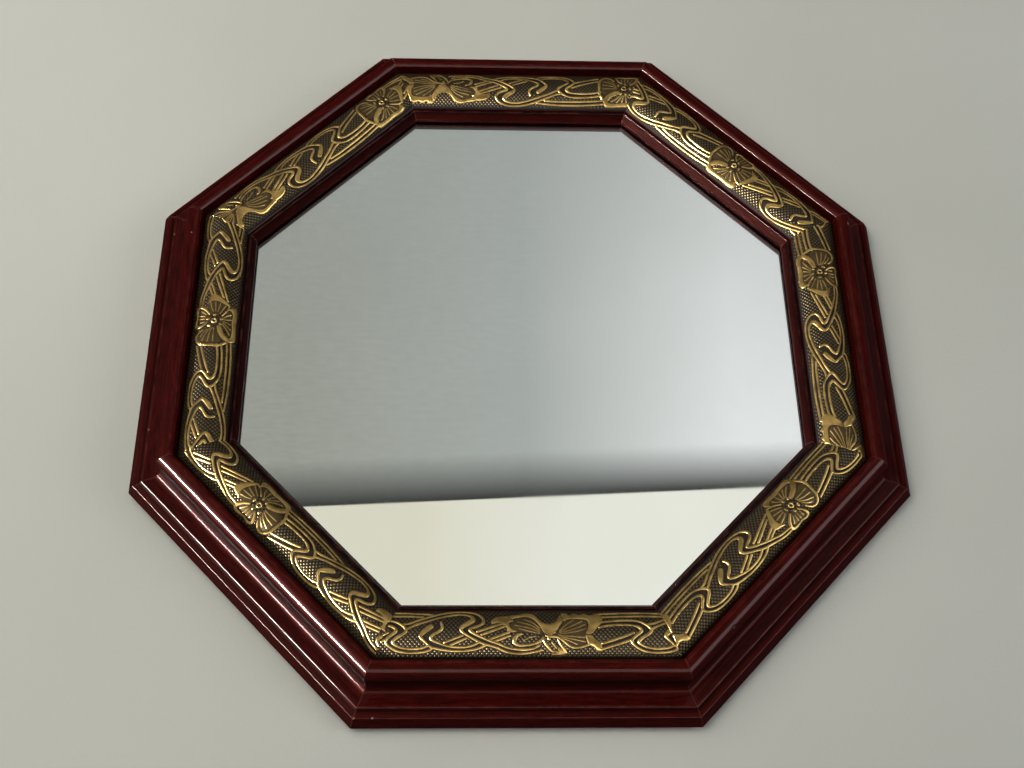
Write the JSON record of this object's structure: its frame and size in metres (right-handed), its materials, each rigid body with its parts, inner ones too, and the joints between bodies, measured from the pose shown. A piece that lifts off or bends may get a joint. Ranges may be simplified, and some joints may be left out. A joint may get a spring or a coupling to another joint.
{
  "type": "octagonal wall mirror",
  "caption": "Octagonal wall mirror: mitred red lacquered wood frame with an embossed brass floral band, backing board, wall pads and swinging ring hangers.",
  "frame": {"origin": "on the wall plane (the faces of the wall pads), under the middle of the mirror", "axes": "+Z is the way the mirror faces, +Y is up when it hangs, +X is to the viewer's right"},
  "size_m": [0.46, 0.46, 0.035],
  "materials": {
    "frame_lacquer": "dark mahogany-red gloss lacquer",
    "embossed_brass": "antiqued embossed brass, dark in the ground",
    "mirror": "silvered glass",
    "hardboard": "brown hardboard",
    "zinc_steel": "zinc-plated spring steel",
    "plated_steel": "nickel-plated steel",
    "pad_rubber": "dark moulded rubber"
  },
  "bodies": {
    "frame": {"frame_rail_right": "frame_lacquer", "embossed_band_right": "embossed_brass", "frame_rail_upper_right": "frame_lacquer", "embossed_band_upper_right": "embossed_brass", "frame_rail_top": "frame_lacquer", "embossed_band_top": "embossed_brass", "frame_rail_upper_left": "frame_lacquer", "embossed_band_upper_left": "embossed_brass", "frame_rail_left": "frame_lacquer", "embossed_band_left": "embossed_brass", "frame_rail_lower_left": "frame_lacquer", "embossed_band_lower_left": "embossed_brass", "frame_rail_bottom": "frame_lacquer", "embossed_band_bottom": "embossed_brass", "frame_rail_lower_right": "frame_lacquer", "embossed_band_lower_right": "embossed_brass", "mirror_glass": "mirror", "backing_board": "hardboard", "glazing_points": "zinc_steel", "mitre_nails": "zinc_steel", "hanger_strap_left": "plated_steel", "hanger_strap_right": "plated_steel", "hanger_screws_left": "plated_steel", "hanger_screws_right": "plated_steel", "wall_pads": "pad_rubber"},
    "ring_left": {"hanger_ring_left": "plated_steel"},
    "ring_right": {"hanger_ring_right": "plated_steel"}
  },
  "joints": [
    {"name": "ring_left_swing", "type": "hinge", "parent": "frame", "child": "ring_left", "pos_m": [-0.196, 0.045, 0.00212], "axis": [-1, 0, 0], "range_deg": [0, 160]},
    {"name": "ring_right_swing", "type": "hinge", "parent": "frame", "child": "ring_right", "pos_m": [0.196, 0.045, 0.00212], "axis": [-1, 0, 0], "range_deg": [0, 160]}
  ]
}
